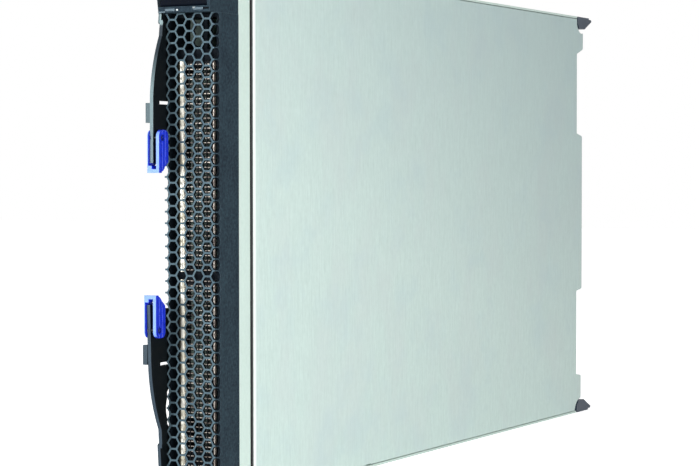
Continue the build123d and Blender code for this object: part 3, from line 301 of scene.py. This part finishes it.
def bezel_plastic():
    """Slate plastic with a mottled face; painted shade makes the pockets, the parts behind the grille and
    the frame left of the panel near black.
    """
    s = Shading("bezel_plastic")
    pits = s.cells(0.9 * MM)
    grain = s.noise(1.3 * MM, detail=4)
    cloud = s.noise(16 * MM, detail=3)
    tone = s.math("ADD", s.both(grain, 0.7), s.both(cloud, 0.3))
    base = s.mix(s.remap(tone, 0.36, 0.64), (24, 35, 45), (46, 62, 71))
    rub = s.both(s.edges(0.3 * MM), s.remap(cloud, 0.3, 0.7, 0.3, 0.8))
    base = s.mix(rub, base, (88, 106, 116))
    # Painted shade: near black inside the bezel, behind the grille's face
    inner = s.remap(s.axis("X"), cover_face_x - 0.3 * MM, cover_face_x - 0.1 * MM, 1.0, 0.0)
    behind = s.remap(s.axis("Y"), grille_face_y + 0.2 * MM, grille_face_y + 0.5 * MM)
    pocket_shade = s.both(inner, behind)
    # Painted shadow: near black on the frame left of the panel, above its lip
    corner_shade = s.both(
        s.remap(s.axis("X"), panel_frame_x, panel_frame_x + 0.2 * MM, 1.0, 0.0),
        s.remap(s.axis("Z"), panel_lip_z, panel_lip_z + 0.2 * MM),
    )
    dark = s.math("MAXIMUM", pocket_shade, corner_shade)
    s.surface(
        Base_Color=s.mix(s.both(dark, 0.9), base, (7, 11, 17)),
        Roughness=s.remap(grain, 0.3, 0.7, 0.5, 0.65),
        Specular_IOR_Level=0.05,
    )
    s.relief(s.math("ADD", s.both(pits, 0.6), s.both(grain, 0.4)), 0.05 * MM, bevel=0.2 * MM)
    return s.material


def grille_plastic():
    """Slate mesh: painted light on its front face, painted shade on the walls of its cells."""
    s = Shading("grille_plastic")
    grain = s.noise(0.8 * MM, detail=4)
    cloud = s.noise(18 * MM, detail=3)
    tone = s.math("ADD", s.both(grain, 0.6), s.both(cloud, 0.4))
    # Painted light on the faces that look forward, painted shade on the walls of the cells
    face_light = s.mix(s.remap(tone, 0.35, 0.65), (62, 80, 91), (88, 106, 114))
    wall_shade = s.mix(grain, (5, 8, 12), (14, 20, 26))
    s.surface(
        Base_Color=s.mix(s.facing("Y"), wall_shade, face_light),
        Roughness=s.remap(grain, 0.3, 0.7, 0.5, 0.65),
        Specular_IOR_Level=0.05,
    )
    s.relief(grain, 0.03 * MM, bevel=0.12 * MM)
    return s.material


def lever_metal():
    """Black coated steel; its front faces carry a painted grey-green sheen, lighter higher up, with a
    painted shadow band, a painted highlight on the hub and darker again above it.
    """
    s = Shading("lever_metal")
    grain = s.noise(0.6 * MM, detail=3)
    cloud = s.noise(12 * MM, detail=3)
    base = s.mix(s.remap(grain, 0.3, 0.7), (5, 9, 11), (13, 18, 22))
    z = s.axis("Z")
    # Painted sheen on the front faces, lighter higher up; then a painted shadow band, a painted highlight on
    # the hub and darker again above it
    wear_and_sheen = s.mix(s.remap(z, *lever_sheen_rise), (52, 66, 78), (116, 134, 137))
    wear_and_sheen = s.mix(s.remap(z, *lever_painted_shadow), wear_and_sheen, (34, 43, 50))
    wear_and_sheen = s.mix(s.remap(z, *hub_painted_highlight), wear_and_sheen, (140, 160, 162))
    wear_and_sheen = s.mix(s.remap(z, *hub_top_dark), wear_and_sheen, (30, 38, 44))
    # The finger bumps get a darker painted sheen
    bump = s.remap(s.axis("X"), bump_x - 0.1 * MM, bump_x + 0.1 * MM, 1.0, 0.0)
    wear_and_sheen = s.mix(s.both(bump, 0.6), wear_and_sheen, (50, 62, 70))
    wear_and_sheen = s.mix(s.both(cloud, 0.3), wear_and_sheen, (60, 72, 80))
    s.surface(
        Base_Color=s.mix(s.both(s.facing("Y", 0.4, 0.8), 0.9), base, wear_and_sheen),
        Roughness=s.remap(grain, 0.3, 0.7, 0.4, 0.55),
        Metallic=0.1,
        Specular_IOR_Level=0.15,
    )
    s.relief(grain, 0.02 * MM, bevel=0.2 * MM)
    return s.material


def touch_plastic(name, pale, dark, front_reflection=None, pins=()):
    """Glossy blue plastic: fine flow lines, small scuffs, a painted reflection on the front face and painted
    shade in the pin holes.
    """
    s = Shading(name)
    flow = s.noise(0.8 * MM, detail=3, stretch=(1, 1, 0.2))
    scuff = s.remap(s.noise(2.5 * MM, detail=5), 0.55, 0.75)
    base = s.mix(s.remap(flow, 0.3, 0.7), dark, pale)
    rub = s.both(s.edges(0.3 * MM), 0.35)
    base = s.mix(rub, base, (80, 112, 235))
    # Painted reflection: the front faces of the pads turn pale blue
    if front_reflection:
        upper = s.math("GREATER_THAN", s.axis("Z"), shield_split)
        front = s.math("ADD", pad_front_low, s.both(upper, pad_front_high - pad_front_low))
        near = s.math("LESS_THAN", s.math("SUBTRACT", s.axis("Y"), front), 1.0 * MM)
        edge = s.math("LESS_THAN", s.axis("X"), pad_side_x)
        base = s.mix(s.both(s.both(s.facing("Y", 0.3, 0.9), near), edge), base, front_reflection)
    # Painted shade: a near-black disc around each pin, inside its hole
    for y, z in pins:
        away = s.node(
            "ShaderNodeCombineXYZ",
            {"Y": s.math("SUBTRACT", s.axis("Y"), y), "Z": s.math("SUBTRACT", s.axis("Z"), z)},
            "Vector",
        )
        node = s.tree.nodes.new("ShaderNodeVectorMath")
        node.operation = "LENGTH"
        s.put(node.inputs[0], away)
        base = s.mix(s.remap(node.outputs["Value"], 1.3 * MM, 1.45 * MM, 1.0, 0.0), base, (4, 6, 20))
    s.surface(
        Base_Color=base,
        Roughness=s.math("ADD", s.remap(flow, 0.3, 0.7, 0.24, 0.34), s.both(scuff, 0.12)),
        Specular_IOR_Level=0.3,
        Coat_Weight=0.25,
        Coat_Roughness=0.16,
    )
    s.relief(flow, 0.015 * MM, bevel=0.25 * MM)
    return s.material


def clear_plastic():
    """Cloudy clear plastic with small bubbles."""
    s = Shading("clear_plastic")
    cloud = s.noise(1.2 * MM, detail=4)
    bubbles = s.remap(s.cells(0.5 * MM), 0.0, 0.12, 1.0, 0.0)
    s.surface(
        Base_Color=s.mix(cloud, (196, 214, 208), (232, 244, 240)),
        Roughness=s.remap(cloud, 0.3, 0.7, 0.12, 0.3),
        Transmission_Weight=0.55,
        IOR=1.49,
    )
    s.relief(s.math("ADD", cloud, bubbles), 0.02 * MM, bevel=0.15 * MM)
    return s.material


def circuit_board(name, mask_dark, mask_pale):
    """Printed board: traces in two directions, plated dots and a glossy mask."""
    s = Shading(name)
    across = s.cells(3.2 * MM, feature="DISTANCE_TO_EDGE", stretch=(1, 1, 0.28), randomness=0.8)
    along = s.cells(3.8 * MM, feature="DISTANCE_TO_EDGE", stretch=(1, 0.25, 1), randomness=0.8)
    upright = s.remap(across, 0.05, 0.09, 1.0, 0.0)
    level = s.remap(along, 0.05, 0.09, 1.0, 0.0)
    traces = s.math("MAXIMUM", upright, level)
    dots = s.remap(s.cells(4.6 * MM, randomness=0.9), 0.08, 0.13, 1.0, 0.0)
    cloud = s.noise(14 * MM, detail=4)
    mask = s.mix(cloud, mask_dark, mask_pale)
    lit = s.mix(s.both(traces, 0.5), mask, mask_pale)
    base = s.mix(dots, lit, (198, 176, 118))
    rough = s.remap(cloud, 0.3, 0.7, 0.26, 0.4)
    s.surface(Base_Color=base, Roughness=rough, Metallic=s.both(dots, 0.6))
    s.relief(s.math("ADD", traces, dots), 0.03 * MM, bevel=0.1 * MM)
    return s.material


def shield_steel():
    """Spring sheet painted near black as shade, with painted highlights on the rolled bead (beside a
    brownish painted reflection), on short ribs between the holes and on the fold.
    """
    s = Shading("shield_steel")
    lines = s.noise(0.5 * MM, detail=3, stretch=(1, 1, 0.15))
    cloud = s.noise(6 * MM, detail=3)
    x = s.axis("X")
    z = s.axis("Z")
    upper = s.math("GREATER_THAN", z, shield_split)
    first = s.math("ADD", rib_first_low, s.both(upper, rib_first_high - rib_first_low))
    turn = s.math("PINGPONG", s.math("SUBTRACT", z, first), rib_pitch_z / 2)
    column = s.math("PINGPONG", s.math("SUBTRACT", x, rib_first_x), rib_pitch_x / 2)
    # Painted highlights: short pale dashes on the ribs between the holes
    rib_highlight = s.both(
        s.remap(turn, 0.16 * MM, 0.3 * MM, 1.0, 0.0),
        s.remap(column, 0.7 * MM, 0.85 * MM, 1.0, 0.0),
    )
    rib_highlight = s.both(rib_highlight, s.remap(x, bead_end, bead_end + 0.2 * MM))
    bead = s.remap(x, bead_end, bead_end + 0.3 * MM, 1.0, 0.0)
    fold = s.remap(x, fold_start, fold_start + 0.2 * MM)
    lit = s.math("MAXIMUM", s.math("MAXIMUM", rib_highlight, bead), fold)
    # Painted highlight on the bead's right, a brownish painted reflection on its left, paler painted
    # highlights on the ribs and the fold; the sheet itself is painted near black as shade
    rib_and_fold_highlight_tone = s.mix(s.remap(cloud, 0.35, 0.65), (112, 102, 98), (196, 186, 176))
    bead_highlight_tone = s.mix(s.remap(cloud, 0.35, 0.65), (206, 200, 180), (250, 248, 240))
    pale = s.mix(s.remap(x, bead_end - 2.2 * MM, bead_end - 1.6 * MM), (92, 88, 72), bead_highlight_tone)
    pale = s.mix(s.remap(x, bead_end, bead_end + 0.2 * MM), pale, rib_and_fold_highlight_tone)
    base = s.mix(lit, s.mix(lines, (6, 8, 10), (16, 20, 23)), pale)
    s.surface(
        Base_Color=base,
        Metallic=s.both(lit, 0.35),
        Roughness=s.remap(lines, 0.3, 0.7, 0.26, 0.42),
        Specular_IOR_Level=0.06,
    )
    s.relief(s.math("ADD", s.both(lines, 0.3), rib_highlight), 0.1 * MM, bevel=0.12 * MM)
    return s.material


def finishes():
    """One material for each of the record's material slots."""
    steel_pale, steel_dark = (208, 225, 218), (190, 209, 201)
    return {
        "tray_steel": sheet_steel("tray_steel", steel_pale, steel_dark),
        "cover_steel": cover_steel(),
        "bezel_plastic": bezel_plastic(),
        "grille_plastic": grille_plastic(),
        "flap_plastic": moulded_plastic(
            "flap_plastic", (8, 14, 24), (3, 6, 12), size=0.6 * MM, edge=(46, 60, 80), specular=0.03
        ),
        "button_plastic": moulded_plastic("button_plastic", (150, 158, 162), (124, 133, 138), size=0.5 * MM),
        "clear_plastic": clear_plastic(),
        "shield_steel": shield_steel(),
        "lever_metal": lever_metal(),
        "pad_plastic": touch_plastic(
            "pad_plastic", (30, 58, 214), (14, 32, 172), front_reflection=(118, 152, 226), pins=pad_pins
        ),
        "pin_steel": brushed_metal("pin_steel", (186, 190, 192), (140, 145, 148), (1, 1, 6)),
        "latch_plastic": touch_plastic("latch_plastic", (26, 58, 196), (14, 34, 150)),
        "guide_plastic": moulded_plastic(
            "guide_plastic", (62, 74, 90), (38, 48, 62), rough=(0.32, 0.46), edge=(176, 184, 194)
        ),
        "circuit_board": circuit_board("circuit_board", (12, 62, 40), (30, 96, 60)),
        "drive_casting": brushed_metal(
            "drive_casting", (176, 180, 182), (128, 133, 136), (1, 0.2, 1), rough=(0.4, 0.55)
        ),
        "drive_tray_steel": sheet_steel(
            "drive_tray_steel", (206, 212, 212), (176, 184, 184), metallic=0.6
        ),
        "connector_plastic": moulded_plastic("connector_plastic", (44, 44, 46), (24, 24, 26), size=0.5 * MM),
        "spreader_metal": brushed_metal("spreader_metal", (204, 204, 200), (166, 168, 168), (1, 5, 1)),
        "sink_aluminium": brushed_metal("sink_aluminium", (206, 210, 212), (160, 166, 170), (1, 0.1, 1)),
        "memory_board": circuit_board("memory_board", (14, 70, 44), (36, 104, 66)),
        "latch_white": moulded_plastic("latch_white", (232, 230, 220), (206, 203, 192), size=0.6 * MM),
        "can_aluminium": brushed_metal("can_aluminium", (198, 202, 206), (150, 156, 162), (0.2, 1, 1)),
    }


def dress_nodes(frame):
    """Gives each node of the frame the finish of its slot; the pad pins are painted near black as shade in
    their holes.
    """
    materials = finishes()
    # Near-black pins as painted shade in the pad's pin holes
    pin_hole_shade = brushed_metal("pin_hole_shade", (16, 18, 22), (6, 7, 9), (1, 1, 6), metallic=0.2)
    slots = {row["node"]: row["material_slot"] for row in frame["record"]["subparts"]}
    for name, node in frame["nodes"].items():
        for slot in node.material_slots:
            slot.material = pin_hole_shade if name.endswith("pad_pin") else materials[slots[name]]


def lip_trims():
    """Raised bars and ticks on the panel's lip, coloured as painted highlights, and a near-black notch at
    its right end as painted shade.
    """
    # Painted highlights on the bars and ticks, painted shade in the notch
    pale = moulded_plastic("lip_bar", (92, 108, 118), (64, 80, 90), size=0.4 * MM, edge=(150, 168, 176))
    tick_highlight = moulded_plastic("lip_tick_highlight", (226, 232, 232), (196, 206, 208), size=0.3 * MM)
    notch_shade = moulded_plastic("lip_notch_shade", (8, 11, 16), (3, 5, 8), size=0.3 * MM, specular=0.03)
    for name, row, finish in (
        ("lip_bars", lip_bars, pale), ("lip_ticks", lip_ticks, tick_highlight), ("lip_notch_shade", lip_notches, notch_shade)
    ):
        mesh = bpy.data.meshes.new(name)
        shape = bmesh.new()
        for x0, x1, z0, z1 in row:
            corners = [(x0, z0), (x1, z0), (x1, z1), (x0, z1)]
            front = [shape.verts.new((x * MM, lip_face_y - lip_rise, z * MM)) for x, z in corners]
            back = [shape.verts.new((x * MM, lip_face_y, z * MM)) for x, z in corners]
            shape.faces.new(front)
            shape.faces.new(back[::-1])
            for i in range(4):
                j = (i + 1) % 4
                shape.faces.new((front[j], front[i], back[i], back[j]))
        bmesh.ops.recalc_face_normals(shape, faces=shape.faces)
        shape.to_mesh(mesh)
        shape.free()
        mesh.materials.append(finish)
        trim = bpy.data.objects.new(name, mesh)
        bpy.context.scene.collection.objects.link(trim)
        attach(trim, "chassis")


def aimed(name, data, place, target):
    """Puts a lamp at a place, turned to a target."""
    lamp = bpy.data.objects.new(name, data)
    lamp.location = place
    lamp.rotation_euler = (Vector(target) - Vector(place)).to_track_quat("-Z", "Y").to_euler()
    bpy.context.scene.collection.objects.link(lamp)
    return lamp


def soft_box(name, place, width, height, power, tint, target=lamp_aim):
    """Rectangular studio lamp."""
    data = bpy.data.lights.new(name, "AREA")
    data.shape = "RECTANGLE"
    data.size = width
    data.size_y = height
    data.energy = power
    data.color = tint
    return aimed(name, data, place, target)


def seen_directly(tree):
    """One for rays that come from the camera, a mirror or clear plastic."""
    path = tree.nodes.new("ShaderNodeLightPath")
    both = tree.nodes.new("ShaderNodeMath")
    both.operation = "MAXIMUM"
    tree.links.new(path.outputs["Is Camera Ray"], both.inputs[0])
    tree.links.new(path.outputs["Is Glossy Ray"], both.inputs[1])
    every = tree.nodes.new("ShaderNodeMath")
    every.operation = "MAXIMUM"
    tree.links.new(both.outputs[0], every.inputs[0])
    tree.links.new(path.outputs["Is Transmission Ray"], every.inputs[1])
    return every.outputs[0]


def add_world():
    """White behind the object, soft light on it."""
    world = bpy.data.worlds.new("studio")
    bpy.context.scene.world = world
    world.use_nodes = True
    tree = world.node_tree
    tree.nodes.clear()
    light = tree.nodes.new("ShaderNodeBackground")
    light.inputs["Color"].default_value = (0.94, 0.98, 1.0, 1.0)
    light.inputs["Strength"].default_value = world_light
    white = tree.nodes.new("ShaderNodeBackground")
    white.inputs["Color"].default_value = (1, 1, 1, 1)
    white.inputs["Strength"].default_value = 1.0
    choice = tree.nodes.new("ShaderNodeMixShader")
    output = tree.nodes.new("ShaderNodeOutputWorld")
    tree.links.new(seen_directly(tree), choice.inputs[0])
    tree.links.new(light.outputs[0], choice.inputs[1])
    tree.links.new(white.outputs[0], choice.inputs[2])
    tree.links.new(choice.outputs[0], output.inputs["Surface"])


def add_floor():
    """Pale floor that renders white where no shadow falls."""
    mesh = bpy.data.meshes.new("floor")
    grid = bmesh.new()
    corners = [(-1, -1), (1, -1), (1, 1), (-1, 1)]
    points = [grid.verts.new((x * floor_half, y * floor_half, -floor_drop)) for x, y in corners]
    grid.faces.new(points)
    grid.to_mesh(mesh)
    grid.free()
    floor = bpy.data.objects.new("floor", mesh)
    bpy.context.scene.collection.objects.link(floor)
    material = bpy.data.materials.new("floor_white")
    material.use_nodes = True
    tree = material.node_tree
    shader = tree.nodes["Principled BSDF"]
    shader.inputs["Base Color"].default_value = (*floor_white, 1.0)
    shader.inputs["Roughness"].default_value = 0.9
    shader.inputs["Specular IOR Level"].default_value = 0.0
    shader.inputs["Emission Color"].default_value = (1, 1, 1, 1)
    lift = tree.nodes.new("ShaderNodeMath")
    lift.operation = "MULTIPLY"
    tree.links.new(seen_directly(tree), lift.inputs[0])
    lift.inputs[1].default_value = floor_lift
    tree.links.new(lift.outputs[0], shader.inputs["Emission Strength"])
    mesh.materials.append(material)


def add_lamps():
    """A soft box for the front, one for the cover and a broad one above."""
    soft_box("front_box", (-0.75, -2.2, 0.45), 0.4, 0.9, 42.0, (0.95, 0.98, 1.0))
    soft_box("side_box", (0.85, -0.85, 0.1), 0.7, 0.16, 10.5, (1.0, 1.0, 0.98), (0.0, -0.15, 0.0))
    soft_box("top_box", (0.4, -0.6, 2.4), 2.0, 2.0, 10.0, (1.0, 1.0, 1.0))


def add_camera():
    """Camera at the photograph's place and angle."""
    data = bpy.data.cameras.new("view")
    data.sensor_fit = "HORIZONTAL"
    data.sensor_width = sensor_width
    data.lens = camera_lens
    turn = Matrix.Rotation(math.radians(camera_yaw), 4, "Z")
    tilt = Matrix.Rotation(math.radians(90 - camera_pitch), 4, "X")
    roll = Matrix.Rotation(math.radians(camera_roll), 4, "Z")
    camera = bpy.data.objects.new("view", data)
    camera.matrix_world = Matrix.Translation(camera_place) @ turn @ tilt @ roll
    bpy.context.scene.collection.objects.link(camera)
    bpy.context.scene.camera = camera


with open("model.json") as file:
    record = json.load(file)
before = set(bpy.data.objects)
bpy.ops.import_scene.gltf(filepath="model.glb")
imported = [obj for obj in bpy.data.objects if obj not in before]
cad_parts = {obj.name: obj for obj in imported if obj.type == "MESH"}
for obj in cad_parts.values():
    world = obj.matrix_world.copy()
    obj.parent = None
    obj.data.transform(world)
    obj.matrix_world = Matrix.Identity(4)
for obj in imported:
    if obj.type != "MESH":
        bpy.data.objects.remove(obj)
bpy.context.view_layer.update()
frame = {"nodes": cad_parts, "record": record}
dress_nodes(frame)
lip_trims()
add_floor()
add_world()
add_lamps()
add_camera()
bpy.context.scene.view_settings.view_transform = "Standard"
